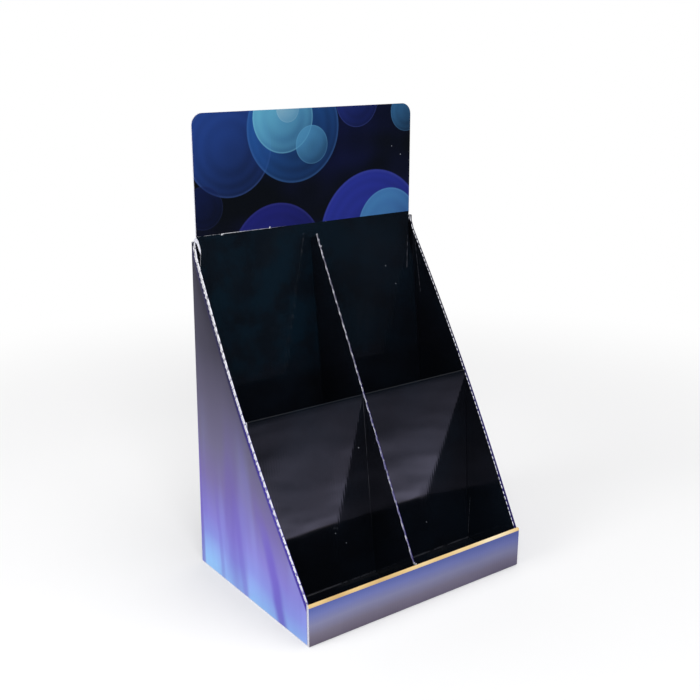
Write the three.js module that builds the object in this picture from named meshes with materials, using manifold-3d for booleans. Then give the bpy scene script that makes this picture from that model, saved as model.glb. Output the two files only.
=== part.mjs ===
// Counter display box of E-flute board: an open tray with a leaning back and slanted side walls,
// a stepped insert with a header, a liner inside each side wall, and a centre divider.
// Millimetres, +Z up. Inside the group y = 0 is the front face of the lip and x = 0 the middle.

import * as THREE from 'three';
import { mergeVertices } from 'three/addons/utils/BufferGeometryUtils.js';
import Module from 'manifold-3d';

const wasm = await Module();
wasm.setup();

// Board
const boardThickness = 1.6;
const plyGap = 0.3;          // air between two plies of board that lie together
const seatGap = 0.3;         // clearance between separate pieces
const foldRadius = 1.3;      // middle line of a folded board

// Tray
const trayWidth = 300;       // outside, at the base
const trayDepth = 232;       // lip face to back face, at the base
const lipHeight = 49;
const wallHeight = 393;
const backLean = 15;         // how far the back comes forward at its top
const cutStartHeight = 46;   // the slanted cut of a side wall starts here, at the lip
const noseDepth = 2;         // flat top of a side wall, at its back corner
const noseHeight = 9;        // upright end of the cut, below that flat top
const wallSplay = 3.3;       // outward, each side, at the top of the back
const wallBow = 6;           // further outward bulge halfway up the slanted edge
const cornerRadius = 2.1;    // outer face of a folded corner

// Stepped insert
const headerHeight = 131;
const headerFoldHeight = 398;
const headerHalfWidth = 148.4;
const headerCornerRadius = 13;
const panelRecline = 0.1195; // y over z of both reclined panels
const riserTopHeight = 217;
const riserFootY = 82;       // front face of the riser where it meets the lower floor
const pocketWallHeight = 46; // front wall of the upper pocket, above its floor
const insertSideGap = 0.5;   // insert to liner
const shoulderDepth = 3.5;   // the panel's edges step in this far, just below the header
const shoulderHeight = 20;
const shoulderFade = 40;     // and come back out over this height

// Centre divider
const dividerTopHeight = 387.5;
const dividerTopDepth = 13;  // top end, from the upper panel forward
const dividerNoseDepth = 9;  // level top of the divider's front end, behind the lip
const dividerNoseHeight = 44.7;
const slotClearance = 0.3;   // each side of a piece in its slot
const tabLowHeight = 15;
const tabHighHeight = 33;

// Mesh fineness
const wallRows = 22;
const wallColumns = 8;
const foldSteps = 4;
const cornerSteps = 8;
const sheetStep = 24;        // longest straight run of the insert's section

const lipThickness = 2 * boardThickness + plyGap;
const linerOuterHalf = trayWidth / 2 - boardThickness - plyGap;
const linerInnerHalf = linerOuterHalf - boardThickness;
const wallFrontY = lipThickness;
const insertFloorZ = boardThickness + seatGap;
const insertFloorTop = insertFloorZ + boardThickness;

const printMaterial = (color, roughness) => new THREE.MeshStandardMaterial({ color, roughness, metalness: 0 });
const traySurface = printMaterial(0x7a74b4, 0.45);
const insertSurface = printMaterial(0x10131c, 0.2);
const linerSurface = printMaterial(0x0e1118, 0.22);
const dividerSurface = printMaterial(0x11141d, 0.22);

// Solids from closed geometries, and back

function toSolid(geometry) {
  const bare = geometry.clone();
  bare.deleteAttribute('normal');
  bare.deleteAttribute('uv');
  const merged = mergeVertices(bare, 1e-4);
  const vertProperties = new Float32Array(merged.attributes.position.array);
  const triVerts = new Uint32Array(merged.index.array);
  return new wasm.Manifold(new wasm.Mesh({ numProp: 3, vertProperties, triVerts }));
}

function toGeometry(solid) {
  const mesh = solid.getMesh();
  const geometry = new THREE.BufferGeometry();
  geometry.setAttribute('position', new THREE.BufferAttribute(new Float32Array(mesh.vertProperties), 3));
  geometry.setIndex(new THREE.BufferAttribute(new Uint32Array(mesh.triVerts), 1));
  geometry.computeVertexNormals();
  return geometry;
}

function moveVertices(geometry, move) {
  const position = geometry.attributes.position;
  const point = new THREE.Vector3();
  for (let i = 0; i < position.count; i += 1) {
    point.fromBufferAttribute(position, i);
    move(point);
    position.setXYZ(i, point.x, point.y, point.z);
  }
  return geometry;
}

function block(x0, x1, y0, y1, z0, z1) {
  const box = new THREE.BoxGeometry(x1 - x0, y1 - y0, z1 - z0);
  box.translate((x0 + x1) / 2, (y0 + y1) / 2, (z0 + z1) / 2);
  return toSolid(box);
}

// A board's section: a middle line of [y, z] points whose folds are rounded, with a thickness

function roundFolds(points, radius) {
  const line = [points[0].clone()];
  for (let i = 1; i < points.length - 1; i += 1) {
    const toLast = points[i - 1].clone().sub(points[i]).normalize();
    const toNext = points[i + 1].clone().sub(points[i]).normalize();
    const halfAngle = Math.acos(THREE.MathUtils.clamp(toLast.dot(toNext), -1, 1)) / 2;
    const reach = radius / Math.tan(halfAngle);
    const start = points[i].clone().addScaledVector(toLast, reach);
    const end = points[i].clone().addScaledVector(toNext, reach);
    const bend = new THREE.QuadraticBezierCurve(start, points[i], end);
    line.push(...bend.getPoints(foldSteps));
  }
  line.push(points[points.length - 1].clone());
  return line;
}

function sectionEdges(line, thickness) {
  const left = [];
  const right = [];
  line.forEach((point, i) => {
    const before = line[Math.max(0, i - 1)];
    const after = line[Math.min(line.length - 1, i + 1)];
    const inward = point.clone().sub(before).normalize();
    const outward = after.clone().sub(point).normalize();
    const along = inward.add(outward).normalize();
    const normal = new THREE.Vector2(-along.y, along.x);
    const edge = after.clone().sub(point);
    const cosine = edge.length() > 0 ? Math.abs(along.dot(edge.normalize())) : 1;
    const reach = thickness / 2 / Math.max(cosine, 0.5);
    left.push(point.clone().addScaledVector(normal, reach));
    right.push(point.clone().addScaledVector(normal, -reach));
  });
  return { left, right };
}

function sectionShape(line, thickness) {
  const { left, right } = sectionEdges(line, thickness);
  return new THREE.Shape([...left, ...right.reverse()]);
}

// Stands a [y, z] shape upright and extrudes it across x, from x0 to x1

function extrudeAcross(shape, x0, x1) {
  const geometry = new THREE.ExtrudeGeometry(shape, { depth: x1 - x0, bevelEnabled: false, curveSegments: 8 });
  const turn = new THREE.Matrix4().set(0, 0, 1, x0, 1, 0, 0, 0, 0, 1, 0, 0, 0, 0, 0, 1);
  return toSolid(geometry.applyMatrix4(turn));
}

// A sheet with the section of a line, whose half width may differ at each place [y, z] of the section

function sweepSheet(line, thickness, halfWidthAt) {
  const { left, right } = sectionEdges(line, thickness);
  const runs = line.length - 1;
  const box = new THREE.BoxGeometry(2, 1, 1, 1, runs, 1);
  box.translate(0, 0.5, 0);
  const sheet = moveVertices(box, (point) => {
    const place = Math.round(point.y * runs);
    const edge = point.z > 0 ? left[place] : right[place];
    point.set(point.x * halfWidthAt(edge.x, edge.y), edge.x, edge.y);
  });
  return toSolid(sheet);
}

// Places of the leaning back, the slanted cut, the reclined panels and the bowed walls

const backFaceY = (z) => trayDepth - backLean * (z / wallHeight);
const noseY = backFaceY(wallHeight) - noseDepth;
const noseStartHeight = wallHeight - noseHeight;
const cutSlope = (noseY - wallFrontY) / (noseStartHeight - cutStartHeight);
const headerFaceY = backFaceY(wallHeight) - 2 * boardThickness - seatGap;
const cutEdgeY = (z) => Math.min(noseY, wallFrontY + cutSlope * Math.max(0, z - cutStartHeight));
const upperPanelY = (z) => headerFaceY - panelRecline * (headerFoldHeight - z);
const riserY = (z) => riserFootY + panelRecline * (z - insertFloorTop);

function wallBulge(y, z) {
  const rise = THREE.MathUtils.clamp((z - lipHeight) / (wallHeight - lipHeight), 0, 1);
  const back = backFaceY(z);
  const towardsCut = THREE.MathUtils.clamp((back - y) / Math.max(1, back - cutEdgeY(z)), 0, 1);
  return wallBow * Math.sin(Math.PI * rise) * Math.sin((Math.PI / 2) * towardsCut);
}

const splayAt = (z) => wallSplay * (z / wallHeight);

// One ply of a side wall, from inner to outer half width, from y at the front to the back face

function bowedWall(side, innerHalf, outerHalf, lowZ, frontInset, backInset) {
  const breaks = [lowZ, cutStartHeight, noseStartHeight, wallHeight];
  const plain = new THREE.BoxGeometry(1, 1, 1, 1, wallColumns, wallRows);
  plain.translate(0.5, 0.5, 0.5);
  const lowRows = 3;
  const topRows = 2;
  const cutRows = wallRows - lowRows - topRows;
  const heightOfRow = (row) => {
    if (row <= lowRows) return THREE.MathUtils.lerp(breaks[0], breaks[1], row / lowRows);
    if (row <= lowRows + cutRows) return THREE.MathUtils.lerp(breaks[1], breaks[2], (row - lowRows) / cutRows);
    return THREE.MathUtils.lerp(breaks[2], breaks[3], (row - lowRows - cutRows) / topRows);
  };
  moveVertices(plain, (point) => {
    const z = heightOfRow(Math.round(point.z * wallRows));
    const y = THREE.MathUtils.lerp(cutEdgeY(z) + frontInset, backFaceY(z) - backInset, point.y);
    const half = THREE.MathUtils.lerp(innerHalf, outerHalf, point.x) + wallBulge(y, z);
    point.set(half, y, z);
  });
  const right = toSolid(plain);
  return side > 0 ? right : right.mirror([1, 0, 0]);
}

function splayOutward(geometry) {
  return moveVertices(geometry, (point) => {
    point.x += splayAt(point.z) * (point.x / (trayWidth / 2));
  });
}

// Outer tray: base, back, two side walls and a lip that is rolled over and comes down inside

function lipSection() {
  const half = boardThickness / 2;
  const innerPlyY = boardThickness + plyGap + half;
  const rollRadius = (innerPlyY - half) / 2;
  const rollCentre = new THREE.Vector2(half + rollRadius, lipHeight - half - rollRadius);
  const roll = new THREE.Path().absarc(rollCentre.x, rollCentre.y, rollRadius, 0, Math.PI, false);
  const line = [
    new THREE.Vector2(innerPlyY, boardThickness / 2),
    ...roll.getPoints(cornerSteps),
    new THREE.Vector2(half, foldRadius + half),
    ...new THREE.QuadraticBezierCurve(
      new THREE.Vector2(half, foldRadius + half),
      new THREE.Vector2(half, half),
      new THREE.Vector2(half + foldRadius, half),
    ).getPoints(foldSteps).slice(1),
    new THREE.Vector2(trayDepth / 2, half),
  ];
  return sectionShape(line, boardThickness);
}

function backSection() {
  const half = boardThickness / 2;
  const points = [
    new THREE.Vector2(trayDepth / 2 - boardThickness, half),
    new THREE.Vector2(trayDepth - half, half),
    new THREE.Vector2(backFaceY(wallHeight) - half, wallHeight),
  ];
  return sectionShape(roundFolds(points, foldRadius), boardThickness);
}

// Stock outside the rounded corner between a side wall and the leaning back

function backCornerCutter(side) {
  const size = 2 * cornerRadius;
  const corner = new THREE.BoxGeometry(size, size, 2 * wallHeight);
  corner.translate(size / 2, size / 2, 0);
  const round = new THREE.CylinderGeometry(cornerRadius, cornerRadius, 3 * wallHeight, 4 * cornerSteps);
  round.rotateX(Math.PI / 2);
  const upright = toSolid(corner).subtract(toSolid(round));
  const placed = upright.translate([trayWidth / 2 - cornerRadius, trayDepth - cornerRadius, wallHeight]);
  const leaning = moveVertices(toGeometry(placed), (point) => {
    point.y -= backLean * (point.z / wallHeight);
  });
  const right = toSolid(leaning);
  return side > 0 ? right : right.mirror([1, 0, 0]);
}

function outerTray() {
  const half = trayWidth / 2;
  let tray = extrudeAcross(lipSection(), -half, half);
  tray = tray.add(extrudeAcross(backSection(), -half, half));
  for (const side of [-1, 1]) {
    tray = tray.add(bowedWall(side, half - boardThickness, half, 0, -plyGap, 0));
  }
  for (const side of [-1, 1]) {
    tray = tray.subtract(backCornerCutter(side));
  }
  const slotHalf = boardThickness / 2 + slotClearance;
  const slotFront = boardThickness + plyGap / 2;
  const slotBack = lipThickness + boardThickness;
  const slotLow = tabLowHeight - slotClearance;
  const slotHigh = tabHighHeight + slotClearance;
  tray = tray.subtract(block(-slotHalf, slotHalf, slotFront, slotBack, slotLow, slotHigh));
  return splayOutward(toGeometry(tray));
}

// Side liners: a second ply inside each side wall, cut along the same slanted line

function sideLiner(side) {
  const backInset = boardThickness + seatGap;
  const liner = bowedWall(side, linerInnerHalf, linerOuterHalf, insertFloorZ, seatGap, backInset);
  return splayOutward(toGeometry(liner));
}

// Stepped insert: header, upper panel, pocket floor, doubled pocket wall, riser and lower floor

function insertLine() {
  const half = boardThickness / 2;
  const pocketFloorZ = riserTopHeight - pocketWallHeight;
  const innerWallY = (z) => riserY(z) + boardThickness + plyGap + half;
  const floorFrontY = innerWallY(pocketFloorZ);
  const floorBackY = upperPanelY(pocketFloorZ - panelRecline * (upperPanelY(pocketFloorZ) - floorFrontY)) + half;
  const floorBackZ = pocketFloorZ - panelRecline * (floorBackY - floorFrontY);
  const rollRadius = (boardThickness + plyGap) / 2;
  const rollZ = riserTopHeight - half - rollRadius;
  const rollY = riserY(rollZ) + half + rollRadius;
  const roll = new THREE.Path().absarc(rollY, rollZ, rollRadius, 0, Math.PI, false);
  const upperFolds = roundFolds([
    new THREE.Vector2(headerFaceY + half, headerFoldHeight + headerHeight),
    new THREE.Vector2(headerFaceY + half, headerFoldHeight),
    new THREE.Vector2(floorBackY, floorBackZ),
    new THREE.Vector2(floorFrontY, pocketFloorZ),
    new THREE.Vector2(rollY + rollRadius, rollZ),
  ], foldRadius);
  const lowerFolds = roundFolds([
    new THREE.Vector2(rollY - rollRadius, rollZ),
    new THREE.Vector2(riserFootY + half, insertFloorZ + half),
    new THREE.Vector2(lipThickness + seatGap, insertFloorZ + half),
  ], foldRadius);
  return [...upperFolds, ...roll.getPoints(cornerSteps).slice(1, -1), ...lowerFolds];
}

// Adds points to the straight runs, so that the sheet's edges can follow the bowed walls

function subdivideLine(line) {
  const fine = [line[0]];
  line.slice(1).forEach((point, i) => {
    const last = line[i];
    const runs = Math.ceil(last.distanceTo(point) / sheetStep);
    for (let k = 1; k <= runs; k += 1) fine.push(last.clone().lerp(point, k / runs));
  });
  return fine;
}

// Half width of the insert at a place on its section

function insertHalfWidth(y, z) {
  if (z >= headerFoldHeight) return headerHalfWidth;
  const below = headerFoldHeight - z;
  const wallHalf = linerInnerHalf - insertSideGap + wallBulge(y, z) + splayAt(z);
  const comeBack = THREE.MathUtils.clamp((below - shoulderHeight) / shoulderFade, 0, 1);
  const stepped = headerHalfWidth - shoulderDepth * Math.min(1, below / shoulderHeight);
  return y < riserY(riserTopHeight) + lipThickness ? wallHalf : THREE.MathUtils.lerp(stepped, wallHalf, comeBack);
}

// Front view of the insert: as wide as the walls below the fold, with rounded corners above

function headerOutline() {
  const half = headerHalfWidth;
  const widest = trayWidth / 2 + wallSplay + wallBow;
  const top = headerFoldHeight + headerHeight;
  const radius = headerCornerRadius;
  const outline = new THREE.Shape();
  outline.moveTo(-half, headerFoldHeight);
  outline.lineTo(-widest, headerFoldHeight);
  outline.lineTo(-widest, 0);
  outline.lineTo(widest, 0);
  outline.lineTo(widest, headerFoldHeight);
  outline.lineTo(half, headerFoldHeight);
  outline.lineTo(half, top - radius);
  outline.absarc(half - radius, top - radius, radius, 0, Math.PI / 2, false);
  outline.absarc(radius - half, top - radius, radius, Math.PI / 2, Math.PI, false);
  return outline;
}

function steppedInsert() {
  const sheet = sweepSheet(subdivideLine(insertLine()), boardThickness, insertHalfWidth);
  const depth = trayDepth + boardThickness;
  const front = new THREE.ExtrudeGeometry(headerOutline(), { depth, bevelEnabled: false, curveSegments: cornerSteps });
  front.applyMatrix4(new THREE.Matrix4().set(1, 0, 0, 0, 0, 0, -1, depth, 0, 1, 0, 0, 0, 0, 0, 1));
  const insert = sheet.intersect(toSolid(front));
  const slotHalf = boardThickness / 2 + slotClearance;
  const slotLow = riserTopHeight - pocketWallHeight + boardThickness;
  const slotFront = riserY(slotLow) - boardThickness;
  const slotBack = riserY(riserTopHeight) + 2 * lipThickness;
  const slot = block(-slotHalf, slotHalf, slotFront, slotBack, slotLow, riserTopHeight + boardThickness);
  return toGeometry(insert.subtract(slot));
}

// Centre divider: stands on the lower floor, passes through the pocket wall's slot and ends at the upper panel

function centreDivider() {
  const floorZ = insertFloorTop + seatGap;
  const frontY = lipThickness + seatGap;
  const slotLow = riserTopHeight - pocketWallHeight + boardThickness + slotClearance;
  const pocketFrontY = riserY(slotLow) + 2 * boardThickness + plyGap + foldRadius;
  const pocketBackY = upperPanelY(slotLow) - seatGap;
  const pocketBackZ = slotLow - panelRecline * (pocketBackY - pocketFrontY);
  const tabTipY = boardThickness + plyGap;
  const cutFootY = frontY + dividerNoseDepth;
  const cutTopY = upperPanelY(dividerTopHeight) - dividerTopDepth;
  const topFall = (cutTopY - cutFootY) / (dividerTopHeight - dividerNoseHeight);
  const topBackZ = dividerTopHeight - topFall * dividerTopDepth;
  const outline = new THREE.Shape([
    [frontY, floorZ],
    [riserY(floorZ) - foldRadius, floorZ],
    [riserY(floorZ + foldRadius) - seatGap, floorZ + foldRadius],
    [riserY(slotLow) - seatGap, slotLow],
    [pocketFrontY, slotLow],
    [upperPanelY(pocketBackZ) - seatGap - foldRadius, pocketBackZ + foldRadius],
    [upperPanelY(topBackZ) - seatGap, topBackZ],
    [cutTopY, dividerTopHeight],
    [cutFootY, dividerNoseHeight],
    [frontY, dividerNoseHeight],
    [frontY, tabHighHeight],
    [tabTipY, tabHighHeight],
    [tabTipY, tabLowHeight],
    [frontY, tabLowHeight],
  ].map(([y, z]) => new THREE.Vector2(y, z)));
  return toGeometry(extrudeAcross(outline, -boardThickness / 2, boardThickness / 2));
}

function part(name, geometry, material) {
  const mesh = new THREE.Mesh(geometry, material);
  mesh.name = name;
  return mesh;
}

const displayBox = new THREE.Group();
displayBox.position.y = -trayDepth / 2;
displayBox.add(part('outer_tray', outerTray(), traySurface));
displayBox.add(part('left_liner', sideLiner(-1), linerSurface));
displayBox.add(part('right_liner', sideLiner(1), linerSurface));
displayBox.add(part('stepped_insert', steppedInsert(), insertSurface));
displayBox.add(part('centre_divider', centreDivider(), dividerSurface));

export default displayBox;
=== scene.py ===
import bpy
import math
from functools import partialmethod
from mathutils import Matrix, Vector


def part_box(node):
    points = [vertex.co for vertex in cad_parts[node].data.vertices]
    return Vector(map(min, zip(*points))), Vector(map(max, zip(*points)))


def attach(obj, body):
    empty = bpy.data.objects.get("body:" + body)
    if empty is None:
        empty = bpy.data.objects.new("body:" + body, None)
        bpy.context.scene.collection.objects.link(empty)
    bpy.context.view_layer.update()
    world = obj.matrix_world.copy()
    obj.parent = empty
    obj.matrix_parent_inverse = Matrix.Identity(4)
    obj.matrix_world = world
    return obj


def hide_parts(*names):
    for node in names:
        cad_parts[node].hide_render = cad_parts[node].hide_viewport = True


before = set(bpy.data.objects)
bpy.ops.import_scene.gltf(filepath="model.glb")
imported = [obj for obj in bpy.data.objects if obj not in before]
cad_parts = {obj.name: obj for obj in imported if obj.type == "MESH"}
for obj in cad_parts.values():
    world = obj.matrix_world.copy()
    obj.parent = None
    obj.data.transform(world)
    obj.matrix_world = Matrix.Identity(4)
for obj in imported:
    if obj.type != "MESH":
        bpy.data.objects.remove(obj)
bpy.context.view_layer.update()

mm = 0.001


# Camera, at the photograph's place, worked out from the box's own edges

cameraValues = {
    "place": (-0.6703, -0.9019, 0.6090),
    "yaw": 36.08,
    "pitch": 16.91,
    "lens": 53.52,
    "sensor": 36,
    "clipStart": 0.01,
}


def placed(name, data):
    thing = bpy.data.objects.new(name, data)
    bpy.context.scene.collection.objects.link(thing)
    return thing


def makeCamera(values):
    data = bpy.data.cameras.new("displayCamera")
    data.lens = values["lens"]
    data.sensor_width = values["sensor"]
    data.clip_start = values["clipStart"]
    camera = placed("displayCamera", data)
    camera.location = values["place"]
    camera.rotation_euler = (math.radians(90 - values["pitch"]), 0, math.radians(-values["yaw"]))
    bpy.context.scene.camera = camera


makeCamera(cameraValues)
print("camera ready")

# The board and the box's shape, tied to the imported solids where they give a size

trayLow, trayHigh = (Vector(corner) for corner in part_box("outer_tray"))
insertHigh = Vector(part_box("stepped_insert")[1])
dividerHigh = Vector(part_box("centre_divider")[1])

boardValues = {
    "thickness": 1.6 * mm,
    "plyGap": 0.3 * mm,
    "flutePitch": 3.3 * mm,
    "paper": 0.28 * mm,
    "edgeDepth": 0.3 * mm,    # how far the cut papers stand over the board's closed edge
    "stripDepth": 1.1 * mm,
    "foldRadius": 2.1 * mm,
    "torn": 0.35,             # how far the papers' edges are torn down, as a share of the strip's depth
    "flutePoints": 8.0,
    "sharpAngle": 35,
    "rows": 26,
}

trayValues = {
    "halfWidth": 150 * mm,
    "front": trayLow.y,
    "back": trayHigh.y,
    "lipHeight": 49 * mm,
    "wallHeight": trayHigh.z,
    "backLean": 15 * mm,
    "cutStart": 46 * mm,
    "noseHeight": 9 * mm,
    "noseDepth": 2 * mm,
    "splay": 3.3 * mm,
    "bow": 6 * mm,
    "wallColumns": 40,
    "noseGap": 0.0005,        # between the columns beside the nose, as a share of the wall's depth
    "cornerColumns": 5,
    "backColumns": 24,
    "lipColumns": 40,
    "longest": 9 * mm,
}

insertValues = {
    "top": insertHigh.z,
    "headerFold": 398 * mm,
    "headerHalf": 148.4 * mm,
    "sideGap": 0.5 * mm,
    "shoulderDepth": 3.5 * mm,
    "shoulderHeight": 20 * mm,
    "shoulderFade": 40 * mm,
    "cornerRadius": 13 * mm,
    "recline": 0.1195,
    "riserTop": 217 * mm,
    "pocketWall": 46 * mm,
    "riserFoot": trayLow.y + 82 * mm,
    "floorZ": 1.9 * mm,
    "foldRadius": 0.6 * mm,
    "columns": 56,
    "cornerRows": 14,
    "longest": 7 * mm,
}

dividerValues = {
    "top": dividerHigh.z,
    "topDepth": 13 * mm,
    "noseDepth": 9 * mm,
    "noseHeight": 44.7 * mm,
    "clear": 1.3 * mm,         # how far its corners stay off the insert's folds
    "slantInward": (0.5, -0.86),
    "waver": 0.15 * mm,
    "longest": 6 * mm,
}

thickness, plyGap = boardValues["thickness"], boardValues["plyGap"]
halfWidth, wallHeight, lipHeight = (trayValues[name] for name in ("halfWidth", "wallHeight", "lipHeight"))
trayFront, trayBack = trayValues["front"], trayValues["back"]
headerFold, riserTop = insertValues["headerFold"], insertValues["riserTop"]
lipThickness = 2 * thickness + plyGap
wallFront = trayFront + lipThickness


def clamp01(value):
    return min(1.0, max(0.0, value))


def mixed(a, b, factor):
    return a + (b - a) * factor


def backFaceY(z):
    return trayBack - trayValues["backLean"] * z / wallHeight


noseY = backFaceY(wallHeight) - trayValues["noseDepth"]
noseStart = wallHeight - trayValues["noseHeight"]
cutSlope = (noseY - wallFront) / (noseStart - trayValues["cutStart"])
headerFaceY = backFaceY(wallHeight) - 2 * thickness - plyGap


def cutEdgeY(z):
    return min(noseY, wallFront + cutSlope * max(0.0, z - trayValues["cutStart"]))


def upperPanelY(z):
    return headerFaceY - insertValues["recline"] * (headerFold - z)


def riserY(z):
    return insertValues["riserFoot"] + insertValues["recline"] * (z - insertValues["floorZ"] - thickness)


def wallBulge(y, z):
    rise = clamp01((z - lipHeight) / (wallHeight - lipHeight))
    back = backFaceY(z)
    towardsCut = clamp01((back - y) / max(mm, back - cutEdgeY(z)))
    return trayValues["bow"] * math.sin(math.pi * rise) * math.sin(math.pi / 2 * towardsCut)


def splayAt(x, z):
    return x * trayValues["splay"] / halfWidth * z / wallHeight


# Meshes: boards made from a grid of points on one face, with the other face a thickness behind

def newObject(name, vertices, faces, slots, materials, uvs=None):
    mesh = bpy.data.meshes.new(name)
    mesh.from_pydata(vertices, [], faces)
    for material in materials:
        mesh.materials.append(material)
    mesh.polygons.foreach_set("material_index", slots)
    if uvs:
        layer = mesh.uv_layers.new(name="boardUV")
        for loop in mesh.loops:
            layer.data[loop.index].uv = uvs[loop.vertex_index]
    mesh.polygons.foreach_set("use_smooth", [True] * len(mesh.polygons))
    mesh.set_sharp_from_angle(angle=math.radians(boardValues["sharpAngle"]))
    mesh.update()
    return placed(name, mesh)


# where a point lies between a board's faces, from -1 to 1
def storeAcross(thing, values):
    thing.data.attributes.new("across", "FLOAT", "POINT").data.foreach_set("value", values)


def gridNormal(grid, i, j):
    before, after = grid[max(0, i - 1)][j], grid[min(len(grid) - 1, i + 1)][j]
    left, right = grid[i][max(0, j - 1)], grid[i][min(len(grid[0]) - 1, j + 1)]
    return (after - before).cross(right - left).normalized()


class BoardBuilder:
    def __init__(self):
        self.vertices, self.faces, self.slots, self.uvs, self.across = [], [], [], [], []

    # rows run along i, columns along j; the face side looks along (di x dj) times side
    def addGrid(self, grid, side, rimSlot=2):
        rows, columns = len(grid), len(grid[0])
        start, total = len(self.vertices), rows * columns
        runI = 0.0
        for i, row in enumerate(grid):
            if i:
                runI += (row[columns // 2] - grid[i - 1][columns // 2]).length
            runJ = 0.0
            for j, point in enumerate(row):
                if j:
                    runJ += (point - row[j - 1]).length
                self.vertices.append(point)
                self.uvs.append((runI, runJ))
        for i, row in enumerate(grid):
            for j, point in enumerate(row):
                self.vertices.append(point - gridNormal(grid, i, j) * side * thickness)
        self.uvs += self.uvs[start:]
        self.across += [1.0] * total + [-1.0] * total

        def quad(corners, slot, forward):
            face = [start + layer * total + i * columns + j for i, j, layer in corners]
            self.faces.append(face if (side > 0) == forward else face[::-1])
            self.slots.append(slot)

        for i in range(rows - 1):
            for j in range(columns - 1):
                for layer in (0, 1):
                    square = [(i, j, layer), (i + 1, j, layer), (i + 1, j + 1, layer), (i, j + 1, layer)]
                    quad(square, layer, layer == 0)
        for i in range(rows - 1):
            for j, forward in ((0, False), (columns - 1, True)):
                quad([(i, j, 0), (i + 1, j, 0), (i + 1, j, 1), (i, j, 1)], rimSlot, forward)
        for j in range(columns - 1):
            for i, forward in ((0, True), (rows - 1, False)):
                quad([(i, j, 0), (i, j + 1, 0), (i, j + 1, 1), (i, j, 1)], rimSlot, forward)

    def finish(self, name, materials, outward=1.0):
        board = newObject(name, self.vertices, self.faces, self.slots, materials, self.uvs)
        storeAcross(board, [outward * value for value in self.across])
        return board


# A flat outline drawn out from one layer of points to another; the last material is the rim's
def prism(name, near, far, materials):
    count = len(near)
    faces = [list(range(count))[::-1], [count + k for k in range(count)]]
    for k in range(count):
        following = (k + 1) % count
        faces.append([k, following, count + following, count + k])
    return newObject(name, near + far, faces, [0, 0] + [len(materials) - 1] * count, materials)


def reslot(board, old, new, chosen):
    for polygon in board.data.polygons:
        if polygon.material_index == old and chosen(polygon.center):
            polygon.material_index = new


# a point of a section, given as (depth, height), at a place across the box
def at(x, point):
    return Vector((x, point.x, point.y))


def roundFolds(points, radius, steps=5):
    line = [points[0]]
    for last, point, following in zip(points, points[1:], points[2:]):
        toLast, toNext = (last - point).normalized(), (following - point).normalized()
        halfAngle = math.acos(max(-1.0, min(1.0, toLast.dot(toNext)))) / 2
        shorter = min((last - point).length, (following - point).length)
        reach = min(radius / math.tan(halfAngle), shorter * 0.45)
        start, end = point + toLast * reach, point + toNext * reach
        for t in spread(0.0, 1.0, steps):
            line.append(start * (1 - t) ** 2 + point * 2 * t * (1 - t) + end * t * t)
    line.append(points[-1])
    return line


def arc(centre, radius, startAngle, endAngle, steps=10):
    angles = spread(startAngle, endAngle, steps)
    return [centre + Vector((math.cos(a), math.sin(a))) * radius for a in angles]


def subdivided(line, longest):
    out = [line[0]]
    for a, b in zip(line, line[1:]):
        count = max(1, math.ceil((b - a).length / longest))
        out += [a.lerp(b, k / count) for k in range(1, count + 1)]
    return out


def spread(low, high, count):
    return [mixed(low, high, k / count) for k in range(count + 1)]


# Shader helpers

def linear(*rgb):
    return tuple(((c / 255 + 0.055) / 1.055) ** 2.4 if c > 10 else c / 255 / 12.92 for c in rgb) + (1.0,)


# three numbers up to 255 are made linear; any other colour is taken as it is
def colourOf(given):
    return linear(*given) if isinstance(given, (tuple, list)) and len(given) == 3 else given


def addNode(tree, kind, **settings):
    node = tree.nodes.new(kind)
    for key, value in settings.items():
        setattr(node, key, value)
    return node


def fill(node, inputs):
    for name, value in inputs.items():
        if isinstance(value, Value):
            node.id_data.links.new(value.socket, node.inputs[name])
        else:
            node.inputs[name].default_value = value
    return node


# A number, place or colour in a node tree. Sums and comparisons on it add the nodes that they need, and a | b
# is the larger of two numbers.
class Value:
    def __init__(self, socket):
        self.socket = socket

    def feed(self, kind, inputs, **settings):
        return fill(addNode(self.socket.id_data, kind, **settings), inputs)

    def math(self, operation, other=0.0, clamp=False):
        node = self.feed("ShaderNodeMath", {0: self, 1: other}, operation=operation, use_clamp=clamp)
        return Value(node.outputs[0])

    def vector(self, operation, other=None, output=0):
        second = "Scale" if operation == "SCALE" else 1
        inputs = {0: self} if other is None else {0: self, second: other}
        return Value(self.feed("ShaderNodeVectorMath", inputs, operation=operation).outputs[output])

    def mapped(self, low, high, toLow=0.0, toHigh=1.0, smooth=True):
        inputs = {"Value": self, "From Min": low, "From Max": high, "To Min": toLow, "To Max": toHigh}
        kind = "SMOOTHSTEP" if smooth else "LINEAR"
        return Value(self.feed("ShaderNodeMapRange", inputs, interpolation_type=kind).outputs["Result"])


operators = {"add": "ADD", "sub": "SUBTRACT", "mul": "MULTIPLY", "truediv": "DIVIDE", "or": "MAXIMUM",
             "lt": "LESS_THAN", "gt": "GREATER_THAN", "abs": "ABSOLUTE"}
for sign, operation in operators.items():
    setattr(Value, f"__{sign}__", partialmethod(Value.math, operation))


def mixColour(factor, first, second, blend="MIX"):
    known = next(item for item in (factor, first, second) if isinstance(item, Value))
    node = known.feed("ShaderNodeMix", {}, data_type="RGBA", blend_type=blend)
    return Value(fill(node, {0: factor, 6: colourOf(first), 7: colourOf(second)}).outputs[2])


# scale is one number, or three for a noise that is stretched along the axes
def noise(place, scale, detail=3.0, roughness=0.5, distortion=0.0):
    if isinstance(scale, tuple):
        place = Value(place.feed("ShaderNodeMapping", {"Vector": place, "Scale": scale}).outputs[0])
        scale = 1.0
    amounts = {"Scale": scale, "Detail": detail, "Roughness": roughness, "Distortion": distortion}
    return Value(place.feed("ShaderNodeTexNoise", {"Vector": place, **amounts}).outputs["Fac"])


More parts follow.
